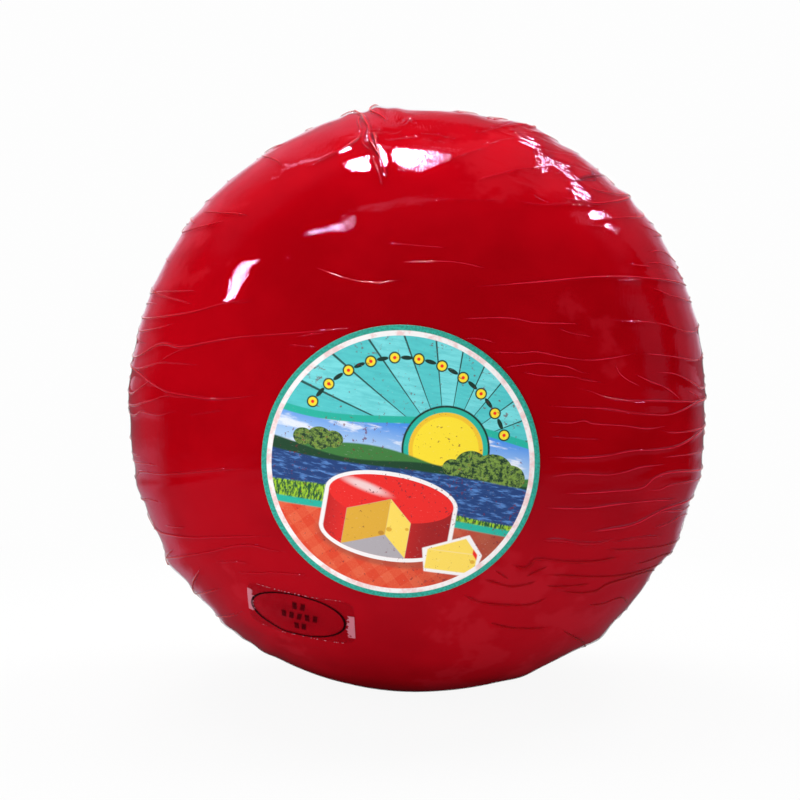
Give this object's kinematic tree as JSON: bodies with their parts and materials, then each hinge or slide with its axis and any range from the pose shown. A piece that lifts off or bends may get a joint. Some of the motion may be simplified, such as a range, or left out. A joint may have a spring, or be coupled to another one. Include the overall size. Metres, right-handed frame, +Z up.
{
  "type": "ball of cheese",
  "caption": "Flat-ended ball of cheese with a red wax coat in tight clear film, with a round label and an oval mark, standing on its rim.",
  "frame": {"origin": "on the floor, under the middle of the ball", "axes": "+Z up; the flat ends face -Y and +Y, and -Y is the front with the label; +X to the right seen from the front"},
  "size_m": [0.1514, 0.1257, 0.1503],
  "materials": {
    "red_wax": "red wax under tight clear film, gloss",
    "clear_film": "clear shrink film, gloss",
    "label_paper": "coated paper, satin, printed",
    "sticker_film": "clear sticker with a black oval ring"
  },
  "bodies": {
    "root": {"cheese_ball_in_film": "red_wax", "round_label": "label_paper", "oval_mark_sticker": "sticker_film"}
  },
  "joints": []
}
